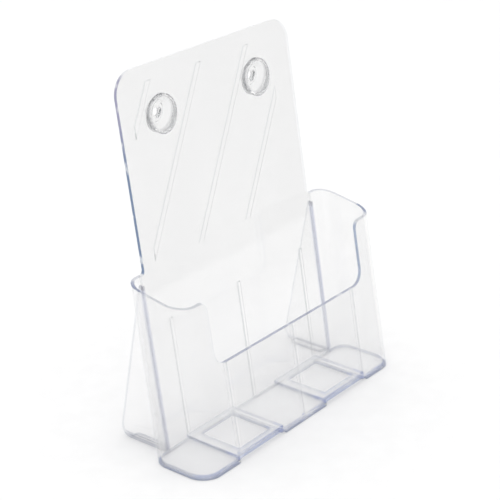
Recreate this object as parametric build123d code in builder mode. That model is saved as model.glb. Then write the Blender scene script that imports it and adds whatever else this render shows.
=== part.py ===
"""Clear countertop / wall literature holder for letter-size sheets.

One pocket with a finger opening, a taller leaning back panel with two dished
screw cups, a stepped floor with two windows, and two triangular rear fins.
Millimetres, +Z up, X across the width, the front towards -Y.
The origin is on the table, at the middle of the footprint.
"""
from math import atan, cos, radians, sin, tan
import os

from build123d import *

# ---------------------------------------------------------------- overall size
WIDTH = 235.0
DEPTH = 96.0
HEIGHT = 273.0
WALL = 2.5

# ------------------------------------------------------------------ back panel
LEAN = radians(9.2)
SHEET = 2.4
UPPER_HALF_WIDTH = 95.7
TOP_CORNER_R = 18.0
SHOULDER_R = 3.0

REAR_Y = DEPTH / 2
FRONT_Y = -DEPTH / 2
# front face of the panel where it would meet the table
PANEL_Y = REAR_Y - SHEET / cos(LEAN) - HEIGHT * tan(LEAN)

# ---------------------------------------------------------------------- pocket
RIM_REAR_Z = 133.0
RIM_SLOPE = 0.183
END_DRAFT = 0.011
FRONT_LEAN = 0.173
FRONT_ANGLE = atan(FRONT_LEAN)
REAR_CORNER_R = 13.0
FRONT_CORNER_R = 16.0

OPENING_HALF_WIDTH = 89.0
OPENING_Z = 76.0
OPENING_CORNER_R = 11.0
EAR_R = 6.0

# ----------------------------------------------------------------------- floor
LOW_FLOOR_TOP = 2.8
HIGH_FLOOR_TOP = 5.4
HIGH_FLOOR_T = 2.4
STEP_T = 2.4
BRIDGE_IN = 25.5
BRIDGE_OUT = 79.3
WINDOW_IN = 33.8
WINDOW_OUT = 71.3
WINDOW_FRONT_Y = -40.0
WINDOW_REAR_Y = -4.0

# ------------------------------------------------------------------------ ribs
RIB_X = (-77.0, 0.0, 77.0)
RIB_W = 4.0
RIB_H = 1.0
RIB_FLANK = 35.0
WALL_RIB_TOP = 74.0
PANEL_RIB_TOP = 95.0
SLANT_W = 5.0
SLANT_H = 0.7
SLANT_ANGLE = 31.7
SLANT_PITCH = 54.0

# ------------------------------------------------------------------------ fins
FIN_X = 99.4
FIN_T = 2.4
FIN_APEX_Z = 126.0
FOOT_R = 8.0
FLANGE_W = 6.0

# ------------------------------------------------------------------------ cups
CUP_X = 53.2
CUP_Z = 236.2
CUP_R = 14.0
CUP_WALL = 1.9
CUP_PROUD = 1.0
CUP_BACK_R = 9.0
CUP_FLOOR_R = 6.5
CUP_FLOOR_T = 3.0
SCREW_R = 3.1
COUNTERSINK = 1.0


def panel_y(z):
    """Front face of the back panel at height z."""
    return PANEL_Y + z * tan(LEAN)


def floor_top(x):
    """Top of the stepped floor at x."""
    if BRIDGE_IN < abs(x) < BRIDGE_OUT:
        return HIGH_FLOOR_TOP
    return LOW_FLOOR_TOP


# The panel is drawn on its own leaning face: local x across, local y up the lean.
PANEL_FACE = Plane(origin=(0, PANEL_Y, 0), x_dir=(1, 0, 0), z_dir=(0, -cos(LEAN), sin(LEAN)))
# The inner face of the front wall, drawn the same way: local y up the wall.
WALL_FACE = Plane(
    origin=(0, FRONT_Y + WALL / cos(LEAN), 0),
    x_dir=(-1, 0, 0),
    z_dir=(0, cos(FRONT_ANGLE), -sin(FRONT_ANGLE)),
)
# The rim falls gently towards the front; this plane looks along it, front to back.
RIM_VIEW = Plane(
    origin=(0, panel_y(RIM_REAR_Z) - 20, RIM_REAR_Z - 20 * RIM_SLOPE),
    x_dir=(1, 0, 0),
    z_dir=(0, -1, -RIM_SLOPE),
)
RIM_CUT = Plane(origin=RIM_VIEW.origin, x_dir=(1, 0, 0), z_dir=(0, -RIM_SLOPE, 1))


def pocket_body(inset, low, high):
    """The leaning pocket as a solid block, its walls moved inwards by inset."""
    reach = inset / cos(LEAN)
    back = 0 if inset else SHEET / cos(LEAN)
    with BuildPart() as body:
        with BuildSketch(Plane.YZ):
            with BuildLine():
                Polyline(
                    (FRONT_Y + FRONT_LEAN * low + reach, low),
                    (panel_y(low) + back, low),
                    (panel_y(high) + back, high),
                    (FRONT_Y + FRONT_LEAN * high + reach, high),
                    close=True,
                )
            make_face()
        extrude(amount=WIDTH, both=True)
        # the ends draw in slightly towards the rim
        for side in (-1, 1):
            end = Plane(
                origin=(side * (WIDTH / 2 - inset), 0, 0),
                x_dir=(0, 1, 0),
                z_dir=(side, 0, END_DRAFT),
            )
            split(bisect_by=end, keep=Keep.BOTTOM)
        uprights = body.edges().filter_by(lambda e: abs(e.tangent_at(0.5).Z) > 0.8)
        fillet(uprights.group_by(Axis.Y)[0], FRONT_CORNER_R - inset)
        uprights = body.edges().filter_by(lambda e: abs(e.tangent_at(0.5).Z) > 0.8)
        fillet(uprights.group_by(Axis.Y)[-1], REAR_CORNER_R - inset)
    return body.part


# ================================================================ pocket cavity
cavity = pocket_body(WALL, -2, 150)


def upright_ribs(face, angle, rib_top):
    """Guide ribs with sloping flanks, from the floor up a wall that leans by angle."""
    with BuildPart() as ribs:
        for x in RIB_X:
            foot = floor_top(x) / cos(angle)
            top = rib_top / cos(angle)
            with BuildSketch(face):
                with Locations((x, (foot + top) / 2)):
                    Rectangle(RIB_W, top - foot)
            extrude(amount=RIB_H, taper=RIB_FLANK)
    return ribs.part


wall_ribs = upright_ribs(WALL_FACE, FRONT_ANGLE, WALL_RIB_TOP)
panel_ribs = upright_ribs(PANEL_FACE, LEAN, PANEL_RIB_TOP)

# the core that forms the inside of the pocket, grooved for the ribs
with BuildPart() as core:
    add(cavity)
    add(wall_ribs, mode=Mode.SUBTRACT)

# ================================================================== pocket wall
with BuildPart() as pocket_wall:
    add(pocket_body(0, 0, 145))
    add(core.part, mode=Mode.SUBTRACT)

    # between the fins, the rear belongs to the back panel
    with BuildSketch(Plane.YZ) as rear_gap:
        with BuildLine():
            Polyline(
                (panel_y(-10) - 1, -10),
                (panel_y(-10) + 10, -10),
                (panel_y(160) + 10, 160),
                (panel_y(160) - 1, 160),
                close=True,
            )
        make_face()
    extrude(amount=FIN_X, both=True, mode=Mode.SUBTRACT)

    # sloping rim
    split(bisect_by=RIM_CUT, keep=Keep.BOTTOM)

    # finger opening in the front wall
    with BuildSketch(Plane.XZ.offset(5)) as finger:
        with Locations((0, OPENING_Z + 50)):
            Rectangle(2 * OPENING_HALF_WIDTH, 100)
        fillet(finger.vertices().group_by(Axis.Y)[0], OPENING_CORNER_R)
    extrude(amount=60, mode=Mode.SUBTRACT)

    # rounded ears beside the opening
    ears = [
        e
        for e in pocket_wall.edges()
        if abs(abs(e.center().X) - OPENING_HALF_WIDTH) < 0.2 and e.center().Z > 115 and e.length < 4
    ]
    fillet(ears, EAR_R)

    # the wall is lifted off the table under the two windows
    for side in (-1, 1):
        with BuildSketch(Plane.XZ.offset(5)) as lift:
            with Locations((side * (BRIDGE_IN + BRIDGE_OUT) / 2, 0)):
                Rectangle(BRIDGE_OUT - BRIDGE_IN, 2 * (HIGH_FLOOR_TOP - HIGH_FLOOR_T))
            fillet(lift.vertices().group_by(Axis.Y)[-1], 2.5)
        extrude(amount=60, mode=Mode.SUBTRACT)

# =================================================================== back panel
with BuildPart() as cup_envelope:
    with BuildSketch(Plane.YZ) as envelope:
        with BuildLine():
            Polyline(
                (REAR_Y + 1, CUP_Z),
                (REAR_Y + 1, CUP_Z + CUP_BACK_R),
                (REAR_Y, CUP_Z + CUP_BACK_R),
                (REAR_Y - 5.2, CUP_Z + CUP_R),
                (REAR_Y - 14, CUP_Z + CUP_R),
                (REAR_Y - 14, CUP_Z),
                close=True,
            )
        make_face()
    revolve(axis=Axis((0, 0, CUP_Z), (0, 1, 0)))

with BuildPart() as back_panel:
    up = HEIGHT / cos(LEAN)
    with BuildSketch(PANEL_FACE) as outline:
        with Locations((0, (up - 4) / 2)):
            Rectangle(2 * FIN_X, up + 4)
    extrude(amount=-SHEET)
    split(bisect_by=Plane.XY, keep=Keep.TOP)

    # the upper part is narrower, with a small fillet on each shoulder
    for side in (-1, 1):
        with BuildSketch(RIM_VIEW) as shoulder:
            with Locations((side * (UPPER_HALF_WIDTH + 20), 90)):
                Rectangle(40, 180)
            low = shoulder.vertices().group_by(Axis.Y)[0]
            fillet(low.sort_by(Axis.X)[0 if side > 0 else -1], SHOULDER_R)
        extrude(amount=-80, mode=Mode.SUBTRACT)

    corners = back_panel.edges().filter_by(lambda e: e.length < SHEET + 0.5 and e.center().Z > HEIGHT - 4)
    fillet(corners, TOP_CORNER_R)

    # upright guide ribs, in line with those of the front wall
    add(panel_ribs)

    # slanted stiffening ribs across the upper part
    with BuildSketch(PANEL_FACE) as slants:
        for n in range(4):
            with Locations((-63.4 + n * SLANT_PITCH - 57 * tan(radians(SLANT_ANGLE)), 265.5 - 57)):
                Rectangle(SLANT_W, 220, rotation=-SLANT_ANGLE)
        with Locations((-5.6, 202)):
            Rectangle(156, 127, mode=Mode.INTERSECT)
    extrude(amount=SLANT_H, taper=RIB_FLANK)

    # seats of the two screw cups
    for side in (-1, 1):
        with Locations((side * CUP_X, 0, 0)):
            add(cup_envelope.part, mode=Mode.SUBTRACT)

# =================================================================== floor tray
with BuildPart() as floor_tray:
    steps = [
        (-WIDTH / 2, LOW_FLOOR_TOP),
        (-BRIDGE_OUT, LOW_FLOOR_TOP),
        (-BRIDGE_OUT, HIGH_FLOOR_TOP),
        (-BRIDGE_IN, HIGH_FLOOR_TOP),
        (-BRIDGE_IN, LOW_FLOOR_TOP),
        (BRIDGE_IN, LOW_FLOOR_TOP),
        (BRIDGE_IN, HIGH_FLOOR_TOP),
        (BRIDGE_OUT, HIGH_FLOOR_TOP),
        (BRIDGE_OUT, LOW_FLOOR_TOP),
        (WIDTH / 2, LOW_FLOOR_TOP),
    ]
    # the underside rests on the table, and is raised where the top is
    under = []
    for x, z in steps:
        into = STEP_T if abs(x) == BRIDGE_OUT else -STEP_T if abs(x) == BRIDGE_IN else 0
        bottom = HIGH_FLOOR_TOP - HIGH_FLOOR_T if z == HIGH_FLOOR_TOP else 0
        under.append((x - into if x > 0 else x + into, bottom))
    with BuildSketch(Plane.XZ.offset(-40)) as profile:
        with BuildLine():
            Polyline(*steps, *reversed(under), close=True)
        make_face()
    extrude(amount=100)
    add(cavity, mode=Mode.INTERSECT)
    with BuildSketch(Plane.XY) as windows:
        with Locations(
            *[(s * (WINDOW_IN + WINDOW_OUT) / 2, (WINDOW_FRONT_Y + WINDOW_REAR_Y) / 2) for s in (-1, 1)]
        ):
            RectangleRounded(WINDOW_OUT - WINDOW_IN, WINDOW_REAR_Y - WINDOW_FRONT_Y, 1.5)
    extrude(amount=10, mode=Mode.SUBTRACT)


# ========================================================================= fins
def rear_face_y(z):
    """Rear face of the back panel at height z."""
    return panel_y(z) + SHEET / cos(LEAN)


def make_fin(side):
    with BuildPart() as fin:
        with BuildSketch(Plane.YZ.offset(side * FIN_X)) as web:
            with BuildLine():
                Polyline(
                    (rear_face_y(0), 0),
                    (REAR_Y, 0),
                    (rear_face_y(FIN_APEX_Z) + 0.6, FIN_APEX_Z),
                    (rear_face_y(FIN_APEX_Z), FIN_APEX_Z),
                    close=True,
                )
            make_face()
            fillet(web.vertices().sort_by(Axis.X)[-1], FOOT_R)
        extrude(amount=FIN_T / 2, both=True)

        # foot flange along the table, turned inwards
        with BuildSketch(Plane.XY) as flange:
            with Locations((side * (FIN_X - FLANGE_W / 2), 22)):
                Rectangle(FLANGE_W, 30)
            fillet(flange.vertices().filter_by(lambda v: abs(v.X) < FIN_X - 1), 3)
        extrude(amount=2.0)

        # shallow bead above the foot
        with BuildSketch(Plane.YZ.offset(side * (FIN_X - FIN_T / 2))) as bead:
            with BuildLine():
                Polyline((10, 11.6), (36, 8.6), (36, 10.2), (10, 13.2), close=True)
            make_face()
        extrude(amount=-side * 0.8)
    return fin.part


left_fin = make_fin(-1)
right_fin = make_fin(1)


# =================================================================== screw cups
def make_cup(side):
    with BuildPart() as cup:
        with BuildSketch(Plane.YZ.offset(side * CUP_X)) as half:
            with BuildLine():
                Polyline(
                    (REAR_Y, CUP_Z + SCREW_R),
                    (REAR_Y, CUP_Z + CUP_BACK_R),
                    (REAR_Y - 5.2, CUP_Z + CUP_R),
                    (REAR_Y - 14, CUP_Z + CUP_R),
                    (REAR_Y - 14, CUP_Z + CUP_R - CUP_WALL),
                    (REAR_Y - 7.5, CUP_Z + CUP_R - CUP_WALL),
                    (REAR_Y - CUP_FLOOR_T, CUP_Z + CUP_FLOOR_R),
                    (REAR_Y - CUP_FLOOR_T, CUP_Z + SCREW_R + 1.5),
                    (REAR_Y - CUP_FLOOR_T + COUNTERSINK, CUP_Z + SCREW_R),
                    close=True,
                )
            make_face()
        revolve(axis=Axis((side * CUP_X, 0, CUP_Z), (0, 1, 0)))
        split(bisect_by=PANEL_FACE.offset(CUP_PROUD), keep=Keep.BOTTOM)
    return cup.part


left_cup = make_cup(-1)
right_cup = make_cup(1)

# ======================================================================= export
os.makedirs("parts", exist_ok=True)
pieces = {
    "back_panel": back_panel.part,
    "pocket_wall": pocket_wall.part,
    "floor_tray": floor_tray.part,
    "left_fin": left_fin,
    "right_fin": right_fin,
    "left_screw_cup": left_cup,
    "right_screw_cup": right_cup,
}
for name, piece in pieces.items():
    piece.label = name
    export_step(piece, f"parts/{name}.step")
    size = piece.bounding_box().size
    print(f"{name}: {piece.volume / 1000:.2f} cm3, {size.X:.1f} x {size.Y:.1f} x {size.Z:.1f} mm")
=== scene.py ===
"""Clear literature holder on a plain pale floor, in soft studio light.

The seven CAD nodes are shown as packed; this script gives them their clear plastic,
and adds the floor, the lights and the camera. Metres, +Z up, the frame's own axes:
X across the width, the front towards -Y.
"""
from math import cos, radians, sin

import bpy
from mathutils import Matrix, Vector

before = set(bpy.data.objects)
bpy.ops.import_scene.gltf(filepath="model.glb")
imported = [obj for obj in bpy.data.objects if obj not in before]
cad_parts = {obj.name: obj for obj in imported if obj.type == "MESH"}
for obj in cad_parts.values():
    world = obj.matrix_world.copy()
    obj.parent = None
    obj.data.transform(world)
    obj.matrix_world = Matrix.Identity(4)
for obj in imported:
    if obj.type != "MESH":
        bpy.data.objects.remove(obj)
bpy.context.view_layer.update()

# ------------------------------------------------------------- camera settings
# where it looks, from how far, and its lens
TARGET = Vector((-0.0060, 0.0005, 0.1267))
DISTANCE = 1.1677
AZIMUTH = radians(51.775)
ELEVATION = radians(23.558)
ROLL = radians(0.36)
LENS = 115.35
SENSOR = 36.0
CLIP_END = 50

# -------------------------------------------------------- places on the object
WIDTHWAYS = (1, 0, 0)
DEPTHWAYS = (0, 1, 0)
UPWARDS = (0, 0, 1)

# the design's own places
FIN_X = 0.0994
FIN_TOP_Z = 0.126
CUP_X = 0.0532
CUP_Z = 0.2362
PANEL_NORMAL = (0, -0.987, 0.160)
HALF_UPRIGHT_PITCH = 0.0385
HALF_SLANT_PITCH = 0.02297
SLANT_ACROSS = (0.8508, 0, -0.5323)
SLANT_SHIFT = 0.0097
SLANT_FLANK = (0.85, -0.08, -0.52)
WALL_RIB_TOP_Z = 0.074

# where one tint gives way to another; a pair is a soft change from one to the other
PANEL_FREE_Z = 0.128
PANEL_SIDE_Z = (0.205, 0.245)
PANEL_OUTLINE_X = 0.088
PANEL_OUTLINE_Z = 0.262
# the panel's painted light: behind the pocket, then more towards the foot
PANEL_STEP_Z = (0.121, 0.112)
PANEL_FOOT_LIGHT_Z = (0.105, 0.045)
SLANTED_RIBS_Z = 0.0965
HALF_RIB_BAND = 0.002
HALF_SEAM = 0.0013
SEAM_TOP_Z = 0.1225
POCKET_MIDDLE_Y = -0.005
OPENING_X = 0.0797
EAR_X = 0.097
CURL_X = (0.106, 0.112)
CURL_XY = -0.0012
LOW_RIM_Z = (0.105, 0.085)
WALL_FOOT_Z = 0.01
SLAB_FRONT_Y = (-0.030, -0.038)
FIN_FOOT_Z = (0.0034, 0.0026)
CUP_RIM_R = (0.0128, 0.0136)
CUP_HOLE_R = (0.0030, 0.0026)

# how squarely a face looks along an axis, as cosines: from where a mask is 0 to where
# it is 1; a falling pair picks the faces that look away from the axis
PANEL_SIDE_ON = (0.3, 0.8)
PANEL_FLANK_OFF = (0.80, 0.65)
PANEL_EDGE_OFF = (0.45, 0.30)
SLANT_FLANK_ON = (0.3, 0.5)
RIM_ON = (0.4, 0.7)
OPENING_SIDE_ON = (0.45, 0.9)
WALL_RIB_ON = (0.55, 0.72)
FIN_REAR_ON = (0.4, 0.7)
SLAB_SIDE_OFF = (0.62, 0.35)

# --------------------------------------------------------------- clear plastic
IOR = 1.57
HEAD_ON = ((IOR - 1) / (IOR + 1)) ** 2
SCHLICK_POWER = 5.0

# colour of the lamp light that one face lets on to what stands behind it
WALL_PASS = (0.905, 0.905, 0.91, 1.0)
SLAB_PASS = (0.98, 0.98, 0.985, 1.0)
EDGE_PASS = (0.45, 0.46, 0.49, 1.0)

# colour that shows through the edges, ribs and seams, partly the plastic's own blue seen
# along its length and partly painted light and shade; first the panel
# painted light: the panel is lighter behind the pocket, and lighter still towards its
# foot
PANEL_LOW = (0.950, 0.950, 0.950, 1.0)
PANEL_FOOT = (0.985, 0.985, 0.985, 1.0)
PANEL_TOP = (0.84, 0.85, 0.87, 1.0)
PANEL_SIDE = (0.19, 0.26, 0.40, 1.0)
PANEL_SIDE_TOP = (0.36, 0.36, 0.50, 1.0)
# painted shade: the far flank of each rib is painted darker than the near one
PANEL_RIB_NEAR = (0.80, 0.81, 0.815, 1.0)
PANEL_RIB_FAR_SHADE = (0.62, 0.63, 0.64, 1.0)
SEAM_BLUE = (0.76, 0.77, 0.84, 1.0)
SEAM_TOP = (0.60, 0.60, 0.64, 1.0)
# the pocket's wall
RIM_BLUE = (0.72, 0.73, 0.77, 1.0)
# painted shade on two of the rim's corners
CURL_PAINTED_SHADE = (0.32, 0.36, 0.49, 1.0)
LOW_RIM_BLUE = (0.50, 0.52, 0.63, 1.0)
OPENING_BLUE = (0.43, 0.49, 0.62, 1.0)
WALL_FOOT = (0.58, 0.64, 0.84, 1.0)
# painted shade: the far flank of each rib is painted darker than the near one
WALL_RIB_NEAR = (0.87, 0.875, 0.88, 1.0)
WALL_RIB_FAR_SHADE = (0.80, 0.81, 0.82, 1.0)
# painted light: the right side of the panel and the left side of the finger opening are
# paler than their mirror images
PALE_SIDE_PAINTED_LIGHT = (0.96, 0.965, 0.975, 1.0)
# the floor, the fins and the cups
SLAB_FRONT = (0.56, 0.61, 0.80, 1.0)
SLAB_EDGE = (0.68, 0.70, 0.77, 1.0)
# the fins' foot edges are painted darker than their other edges: partly the cut edge's
# blue, partly a painted contact shadow
FIN_FOOT = (0.74, 0.75, 0.79, 1.0)
FIN_EDGE = (0.86, 0.87, 0.89, 1.0)
# painted shade: the cup is darker beyond its dished face, and dark in its bore
CUP_RIM = (0.55, 0.55, 0.56, 1.0)
CUP_HOLE = (0.16, 0.16, 0.165, 1.0)
CUP_FACE = (0.86, 0.86, 0.86, 1.0)
# painted highlights: bright spots along every cut edge; and the haze inside the plastic
GLINT = (0.93, 0.94, 0.96, 1.0)
MILK = (0.95, 0.95, 0.955, 1.0)
WHITE = (1.0, 1.0, 1.0, 1.0)

# noises as scale, detail and roughness
RIPPLE = (16.0, 3.0, 0.45)
SCUFF = (140.0, 8.0, 0.7)
STREAK = (95.0, 2.0, 0.6)
CUP_SCUFF = (300.0, 6.0, 0.6)
GRAIN = (60.0, 3.0, 0.5)

# what the noises do: the range of noise, then the range of the result
DENSITY_NOISE = (0.3, 0.7)
DENSITY_CHANGE = 0.006
GLINT_SHARE = (0.52, 0.68, 0.0, 0.6)
GLOSS_ROUGHNESS = (0.35, 0.75, 0.02, 0.10)
CUP_ROUGHNESS = (0.4, 0.8, 0.0, 0.05)
RIPPLE_STRENGTH = 0.06
RIPPLE_DEPTH = 0.002
RIB_HAZE = 0.14

# ------------------------------------------------------------- floor and light
FLOOR_HALF = 5.0
FLOOR_DROP = 0.0004
FLOOR_ROUGHNESS = 0.9
FLOOR_TONE = (0.3, 0.7, 0.96, 0.98)
SKY_HEIGHTS = (0.05, 0.85)
LAMP_AIM = (0, 0, 0.1)
# a ray crosses many thin walls before it reaches the floor
BOUNCES = 96
TRANSPARENT_BOUNCES = 64


# ------------------------------------------------------------------ node tools
def new_material(name):
    material = bpy.data.materials.new(name)
    material.use_nodes = True
    tree = material.node_tree
    tree.nodes.clear()
    return material, tree


def node(tree, kind, **inputs):
    """A node with its input sockets set by name (underscores stand for spaces)."""
    made = tree.nodes.new(kind)
    for name, value in inputs.items():
        made.inputs[name.replace("_", " ")].default_value = value
    return made


def number(tree, operation, *values):
    """A Math node on sockets or plain numbers; returns its output socket."""
    made = tree.nodes.new("ShaderNodeMath")
    made.operation = operation
    for i, value in enumerate(values):
        if isinstance(value, bpy.types.NodeSocket):
            tree.links.new(value, made.inputs[i])
        else:
            made.inputs[i].default_value = value
    return made.outputs["Value"]


def both(tree, first, second):
    """The part that two masks share."""
    return number(tree, "MULTIPLY", first, second)


def above(tree, value, limit):
    """1 where a value is over its limit."""
    return number(tree, "GREATER_THAN", value, limit)


def under(tree, value, limit):
    """1 where a value is under its limit."""
    return number(tree, "LESS_THAN", value, limit)


def ramp(tree, value, start, end, low=0.0, high=1.0):
    """Smooth step of a socket from low at start to high at end."""
    span = {"From_Min": start, "From_Max": end, "To_Min": low, "To_Max": high}
    made = node(tree, "ShaderNodeMapRange", **span)
    made.interpolation_type = "SMOOTHSTEP"
    tree.links.new(value, made.inputs["Value"])
    return made.outputs["Result"]


def blend(tree, share, first, second):
    """Colour mix of two sockets or plain colours."""
    made = tree.nodes.new("ShaderNodeMix")
    made.data_type = "RGBA"
    tree.links.new(share, made.inputs["Factor"])
    for name, value in (("A", first), ("B", second)):
        socket = [s for s in made.inputs if s.name == name and s.type == "RGBA"][0]
        if isinstance(value, bpy.types.NodeSocket):
            tree.links.new(value, socket)
        else:
            socket.default_value = value
    return [s for s in made.outputs if s.type == "RGBA"][0]


def object_place(tree):
    """The point on the object, in metres."""
    return node(tree, "ShaderNodeTexCoord").outputs["Object"]


def dot(tree, vector, axis):
    """Dot product of a vector socket and an axis."""
    made = tree.nodes.new("ShaderNodeVectorMath")
    made.operation = "DOT_PRODUCT"
    made.inputs[1].default_value = axis
    tree.links.new(vector, made.inputs[0])
    return made.outputs["Value"]


def noise(tree, place, scale, detail, roughness):
    settings = {"Scale": scale, "Detail": detail, "Roughness": roughness}
    made = node(tree, "ShaderNodeTexNoise", **settings)
    tree.links.new(place, made.inputs["Vector"])
    return made.outputs["Fac"]


def see_through(tree, colour):
    """Transparent shader tinted by a colour socket."""
    made = node(tree, "ShaderNodeBsdfTransparent")
    tree.links.new(colour, made.inputs["Color"])
    return made.outputs["BSDF"]


def shader_mix(tree, share, first, second):
    """The first shader where share is 0, the second where it is 1."""
    made = node(tree, "ShaderNodeMixShader")
    for value, socket in zip((share, first, second), made.inputs):
        tree.links.new(value, socket)
    return made.outputs["Shader"]


def show(tree, shader):
    """Make a shader the surface of its material."""
    output = node(tree, "ShaderNodeOutputMaterial")
    tree.links.new(shader, output.inputs["Surface"])


# --------------------------------------------------------- masks on the object
def facing(tree, axis, start, end):
    """How squarely a face looks along an axis, either way: 0 at start, 1 at end."""
    normal = node(tree, "ShaderNodeTexCoord").outputs["Normal"]
    return ramp(tree, number(tree, "ABSOLUTE", dot(tree, normal, axis)), start, end)


def place_in(tree, axis):
    """One coordinate of the point, in metres."""
    place = node(tree, "ShaderNodeSeparateXYZ")
    tree.links.new(object_place(tree), place.inputs["Vector"])
    return place.outputs[axis]


def off_middle(tree):
    """How far a point is from the middle of the width."""
    return number(tree, "ABSOLUTE", place_in(tree, "X"))


def from_nearest(tree, value, half_pitch):
    """Signed distance from the nearest of evenly spaced lines."""
    return number(tree, "WRAP", value, half_pitch, -half_pitch)


def across_upright(tree):
    """Distance from the middle line of the nearest upright rib, in metres."""
    return from_nearest(tree, place_in(tree, "X"), HALF_UPRIGHT_PITCH)


def across_slant(tree):
    """Distance from the middle line of the nearest slanted rib, in metres."""
    across = dot(tree, object_place(tree), SLANT_ACROSS)
    return from_nearest(tree, number(tree, "ADD", across, SLANT_SHIFT), HALF_SLANT_PITCH)


def seam(tree):
    """1 over the front ends of the two fins, as they show through the rear wall."""
    from_fin = number(tree, "SUBTRACT", off_middle(tree), FIN_X)
    stripe = under(tree, number(tree, "ABSOLUTE", from_fin), HALF_SEAM)
    low = under(tree, place_in(tree, "Z"), FIN_TOP_Z)
    rear = above(tree, place_in(tree, "Y"), POCKET_MIDDLE_Y)
    return both(tree, stripe, both(tree, low, rear))


def seam_tint(tree, z):
    """The seam's colour, darker where the fin ends at the rim."""
    return blend(tree, above(tree, z, SEAM_TOP_Z), SEAM_BLUE, SEAM_TOP)


def rib_band(tree):
    """1 over the width of the front wall's ribs."""
    off = number(tree, "ABSOLUTE", across_upright(tree))
    inside = under(tree, off_middle(tree), OPENING_X)
    band = both(tree, under(tree, off, HALF_RIB_BAND), inside)
    front = under(tree, place_in(tree, "Y"), POCKET_MIDDLE_Y)
    low = under(tree, place_in(tree, "Z"), WALL_RIB_TOP_Z)
    return both(tree, both(tree, band, front), low)


# --------------------------------------- layers of tint over the plain plastic
def panel_layers(tree):
    x, z = place_in(tree, "X"), place_in(tree, "Z")
    # painted light and shade: the left edge is painted blue and the right one pale,
    # though both are cut alike
    free = above(tree, z, PANEL_FREE_Z)
    side = both(tree, facing(tree, WIDTHWAYS, *PANEL_SIDE_ON), free)
    side_tint = blend(tree, ramp(tree, z, *PANEL_SIDE_Z), PANEL_SIDE, PANEL_SIDE_TOP)
    side_tint = blend(tree, above(tree, x, 0.0), side_tint, PALE_SIDE_PAINTED_LIGHT)
    cut = blend(tree, side, PANEL_TOP, side_tint)
    beside = above(tree, off_middle(tree), PANEL_OUTLINE_X)
    outline = number(tree, "MAXIMUM", beside, above(tree, z, PANEL_OUTLINE_Z))
    edge = facing(tree, PANEL_NORMAL, *PANEL_EDGE_OFF)

    slanted = above(tree, z, SLANTED_RIBS_Z)
    across = blend(tree, slanted, across_upright(tree), across_slant(tree))
    # painted shade: each rib's far flank darker than its near one
    rib = blend(tree, above(tree, across, 0.0), PANEL_RIB_NEAR, PANEL_RIB_FAR_SHADE)
    raised = facing(tree, PANEL_NORMAL, *PANEL_FLANK_OFF)
    flank = both(tree, raised, facing(tree, SLANT_FLANK, *SLANT_FLANK_ON))
    # painted light: lighter behind the pocket and lighter still towards the foot
    foot_light = ramp(tree, z, *PANEL_FOOT_LIGHT_Z)
    return (
        (ramp(tree, z, *PANEL_STEP_Z), blend(tree, foot_light, PANEL_LOW, PANEL_FOOT)),
        (flank, rib),
        (seam(tree), seam_tint(tree, z)),
        (both(tree, edge, outline), cut),
    )


def wall_layers(tree):
    x, y, z = (place_in(tree, axis) for axis in "XYZ")
    rim = facing(tree, UPWARDS, *RIM_ON)
    # painted shade: the rear left and the front right corner of the rim are painted a
    # darker blue than the other two
    corner = under(tree, both(tree, x, y), CURL_XY)
    curl = both(tree, ramp(tree, off_middle(tree), *CURL_X), corner)
    rim_tint = blend(tree, curl, RIM_BLUE, CURL_PAINTED_SHADE)
    rim_tint = blend(tree, ramp(tree, z, *LOW_RIM_Z), rim_tint, LOW_RIM_BLUE)

    # painted light and shade: the finger opening's right side is painted blue and its
    # left one pale, though both are cut alike
    past_opening = above(tree, off_middle(tree), OPENING_X)
    beside = both(tree, past_opening, under(tree, off_middle(tree), EAR_X))
    side = both(tree, facing(tree, WIDTHWAYS, *OPENING_SIDE_ON), beside)
    side_tint = blend(tree, above(tree, x, 0.0), PALE_SIDE_PAINTED_LIGHT, OPENING_BLUE)
    cut = blend(tree, side, rim_tint, side_tint)
    cut = blend(tree, under(tree, z, WALL_FOOT_Z), cut, WALL_FOOT)

    # painted shade: each rib's far flank darker than its near one
    far = above(tree, across_upright(tree), 0.0)
    rib = blend(tree, far, WALL_RIB_NEAR, WALL_RIB_FAR_SHADE)
    on_rib = under(tree, off_middle(tree), OPENING_X)
    return (
        (both(tree, facing(tree, WIDTHWAYS, *WALL_RIB_ON), on_rib), rib),
        (seam(tree), seam_tint(tree, z)),
        (number(tree, "MAXIMUM", rim, side), cut),
    )


def slab_layers(tree):
    front = ramp(tree, place_in(tree, "Y"), *SLAB_FRONT_Y)
    cut = blend(tree, front, SLAB_EDGE, SLAB_FRONT)
    return ((facing(tree, UPWARDS, *SLAB_SIDE_OFF), cut),)


def fin_layers(tree):
    rear = facing(tree, DEPTHWAYS, *FIN_REAR_ON)
    # partly painted contact shadow along the foot's cut edges
    foot = ramp(tree, place_in(tree, "Z"), *FIN_FOOT_Z)
    foot_edge = both(tree, foot, facing(tree, UPWARDS, *SLAB_SIDE_OFF))
    cut = blend(tree, foot_edge, FIN_EDGE, FIN_FOOT)
    return ((number(tree, "MAXIMUM", rear, foot_edge), cut),)


# ------------------------------------------------------------------- materials
def mirror_share(tree):
    """Schlick's share of light that a face mirrors, alike from outside and inside."""
    grazing = node(tree, "ShaderNodeLayerWeight", Blend=0.5).outputs["Facing"]
    rise = number(tree, "POWER", grazing, SCHLICK_POWER)
    return number(tree, "MULTIPLY_ADD", rise, 1 - HEAD_ON, HEAD_ON)


def lamp_rays(tree):
    """1 for the rays that carry lamp light and soft light onto other surfaces."""
    ray = node(tree, "ShaderNodeLightPath")
    shadow, diffuse = ray.outputs["Is Shadow Ray"], ray.outputs["Is Diffuse Ray"]
    return number(tree, "MAXIMUM", shadow, diffuse)


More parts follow.
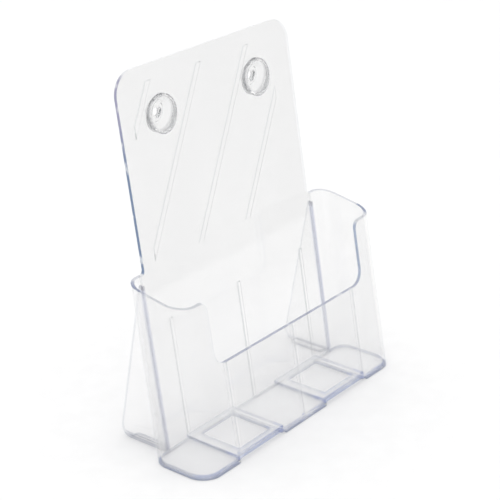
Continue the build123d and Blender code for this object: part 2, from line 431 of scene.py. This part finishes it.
def clear_sheet(name, clarity, haze, lamp_pass, layers_of, flow, milky=None):
    """Thin clear wall: tinted see-through faces, blue cut edges, a polished gloss.

    clarity is the share of light that the plain face lets the eye see, haze the share
    that the plastic scatters, and lamp_pass the light that one face lets on to what
    stands behind it.
    layers_of(tree) lists (share, colour) pairs laid over the plain face, edges last.
    flow stretches the moulding ripple along the way the melt ran.
    milky(tree) is 1 where the wall is thicker and scatters more.
    """
    material, tree = new_material(name)
    place = object_place(tree)
    stretch = node(tree, "ShaderNodeMapping", Scale=flow)
    tree.links.new(place, stretch.inputs["Vector"])
    ripple = noise(tree, stretch.outputs["Vector"], *RIPPLE)
    scuff = noise(tree, place, *SCUFF)

    # the sheet is a little denser where the melt slowed down
    dense, thin = clarity - DENSITY_CHANGE, clarity + DENSITY_CHANGE
    spread = ramp(tree, ripple, *DENSITY_NOISE)
    tint = blend(tree, spread, (dense, dense, dense, 1.0), (thin, thin, thin, 1.0))
    layers = layers_of(tree)
    for share, colour in layers:
        tint = blend(tree, share, tint, colour)
    edge = layers[-1][0]
    # painted highlights: short bright glints along the cut edges
    glint = ramp(tree, noise(tree, place, *STREAK), *GLINT_SHARE)
    tint = blend(tree, both(tree, edge, glint), tint, GLINT)
    seen = see_through(tree, tint)
    passing = see_through(tree, blend(tree, edge, lamp_pass, EDGE_PASS))

    gloss = node(tree, "ShaderNodeBsdfPrincipled", Base_Color=WHITE, Metallic=1.0)
    tree.links.new(ramp(tree, scuff, *GLOSS_ROUGHNESS), gloss.inputs["Roughness"])
    bump = node(tree, "ShaderNodeBump", Strength=RIPPLE_STRENGTH, Distance=RIPPLE_DEPTH)
    tree.links.new(ripple, bump.inputs["Height"])
    tree.links.new(bump.outputs["Normal"], gloss.inputs["Normal"])

    milk = node(tree, "ShaderNodeBsdfDiffuse", Color=MILK)
    scatter = ramp(tree, edge, 0.0, 1.0, haze, 0.0)
    if milky:
        scatter = number(tree, "MULTIPLY_ADD", milky(tree), RIB_HAZE, scatter)
    body = shader_mix(tree, scatter, seen, milk.outputs["BSDF"])
    surface = shader_mix(tree, mirror_share(tree), body, gloss.outputs["BSDF"])
    # lamp light passes unbent, so the holder casts only a light shadow
    show(tree, shader_mix(tree, lamp_rays(tree), surface, passing))
    return material


def thick_plastic(name):
    """The dished cups: solid enough to bend what is seen through them."""
    material, tree = new_material(name)
    place = object_place(tree)
    body = node(tree, "ShaderNodeBsdfPrincipled", IOR=IOR, Transmission_Weight=1.0)
    across = number(tree, "SUBTRACT", off_middle(tree), CUP_X)
    up = number(tree, "SUBTRACT", place_in(tree, "Z"), CUP_Z)
    squares = number(tree, "ADD", both(tree, across, across), both(tree, up, up))
    radius = number(tree, "SQRT", squares)
    # painted shade: darker beyond the dished face, and dark in the bore
    tint = blend(tree, ramp(tree, radius, *CUP_RIM_R), CUP_FACE, CUP_RIM)
    tint = blend(tree, ramp(tree, radius, *CUP_HOLE_R), tint, CUP_HOLE)
    tree.links.new(tint, body.inputs["Base Color"])
    rough = ramp(tree, noise(tree, place, *CUP_SCUFF), *CUP_ROUGHNESS)
    tree.links.new(rough, body.inputs["Roughness"])

    passing = node(tree, "ShaderNodeBsdfTransparent", Color=WALL_PASS)
    shaders = body.outputs["BSDF"], passing.outputs["BSDF"]
    show(tree, shader_mix(tree, lamp_rays(tree), *shaders))
    return material


panel_plastic = clear_sheet(
    "clear_panel",
    clarity=0.928,
    haze=0.03,
    lamp_pass=WALL_PASS,
    layers_of=panel_layers,
    flow=(1, 1, 0.4),
)
wall_plastic = clear_sheet(
    "clear_wall",
    clarity=0.971,
    haze=0.07,
    lamp_pass=WALL_PASS,
    layers_of=wall_layers,
    flow=(0.4, 1, 1),
    milky=rib_band,
)
slab_plastic = clear_sheet(
    "clear_floor",
    clarity=0.99,
    haze=0.28,
    lamp_pass=SLAB_PASS,
    layers_of=slab_layers,
    flow=(0.5, 1, 1),
)
fin_plastic = clear_sheet(
    "clear_fin",
    clarity=0.985,
    haze=0.02,
    lamp_pass=WALL_PASS,
    layers_of=fin_layers,
    flow=(1, 1, 0.5),
)
cup_plastic = thick_plastic("clear_cup")

finishes = {
    "back_panel": panel_plastic,
    "pocket_wall": wall_plastic,
    "floor_tray": slab_plastic,
    "left_fin": fin_plastic,
    "right_fin": fin_plastic,
    "left_screw_cup": cup_plastic,
    "right_screw_cup": cup_plastic,
}
for name, material in finishes.items():
    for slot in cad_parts[name].material_slots:
        slot.material = material


# ------------------------------------------------------------- floor and light
def pale_floor():
    """A wide matt sweep that the holder stands on."""
    mesh = bpy.data.meshes.new("floor")
    signs = ((-1, -1), (1, -1), (1, 1), (-1, 1))
    corners = [(FLOOR_HALF * x, FLOOR_HALF * y, 0) for x, y in signs]
    mesh.from_pydata(corners, [], [(0, 1, 2, 3)])
    floor = bpy.data.objects.new("floor", mesh)
    floor.location.z = -FLOOR_DROP
    bpy.context.scene.collection.objects.link(floor)

    material, tree = new_material("pale_floor")
    shader = node(tree, "ShaderNodeBsdfPrincipled", Roughness=FLOOR_ROUGHNESS)
    tone = ramp(tree, noise(tree, object_place(tree), *GRAIN), *FLOOR_TONE)
    tree.links.new(tone, shader.inputs["Base Color"])
    show(tree, shader.outputs["BSDF"])
    mesh.materials.append(material)
    return floor


def soft_light(name, place, aim, width, height, power):
    light = bpy.data.lights.new(name, "AREA")
    light.shape = "RECTANGLE"
    light.size = width
    light.size_y = height
    light.energy = power
    lamp = bpy.data.objects.new(name, light)
    lamp.location = place
    towards = Vector(aim) - Vector(place)
    lamp.rotation_euler = towards.to_track_quat("-Z", "Y").to_euler()
    bpy.context.scene.collection.objects.link(lamp)


def studio_world(horizon, zenith):
    """Even white surround, a little brighter around the horizon than overhead."""
    world = bpy.data.worlds.new("studio")
    world.use_nodes = True
    tree = world.node_tree
    tree.nodes.clear()
    direction = node(tree, "ShaderNodeTexCoord")
    height = node(tree, "ShaderNodeSeparateXYZ")
    tree.links.new(direction.outputs["Generated"], height.inputs["Vector"])
    glow = ramp(tree, height.outputs["Z"], *SKY_HEIGHTS, horizon, zenith)
    background = node(tree, "ShaderNodeBackground", Color=WHITE)
    tree.links.new(glow, background.inputs["Strength"])
    output = node(tree, "ShaderNodeOutputWorld")
    tree.links.new(background.outputs["Background"], output.inputs["Surface"])
    bpy.context.scene.world = world


pale_floor()
studio_world(horizon=1.06, zenith=0.97)
soft_light("key", (-1.6, -0.9, 2.6), LAMP_AIM, width=2.4, height=2.4, power=7)
soft_light("top", (0.4, 0.6, 3.0), LAMP_AIM, width=3.0, height=3.0, power=4.5)


# ---------------------------------------------------------------------- camera
def place_camera():
    level = cos(ELEVATION)
    ahead = Vector((sin(AZIMUTH) * level, cos(AZIMUTH) * level, -sin(ELEVATION)))
    right = Vector((cos(AZIMUTH), -sin(AZIMUTH), 0))
    up = right.cross(ahead)
    tilted = cos(ROLL) * right - sin(ROLL) * up
    upright = sin(ROLL) * right + cos(ROLL) * up
    data = bpy.data.cameras.new("camera")
    data.lens = LENS
    data.sensor_width = SENSOR
    data.clip_end = CLIP_END
    camera = bpy.data.objects.new("camera", data)
    columns = Matrix((tilted, upright, -ahead)).transposed().to_4x4()
    camera.matrix_world = Matrix.Translation(TARGET - ahead * DISTANCE) @ columns
    bpy.context.scene.collection.objects.link(camera)
    bpy.context.scene.camera = camera


place_camera()

scene = bpy.context.scene
scene.view_settings.view_transform = "Standard"
scene.cycles.max_bounces = BOUNCES
scene.cycles.transmission_bounces = BOUNCES
scene.cycles.glossy_bounces = BOUNCES
scene.cycles.transparent_max_bounces = TRANSPARENT_BOUNCES
scene.cycles.use_denoising = True
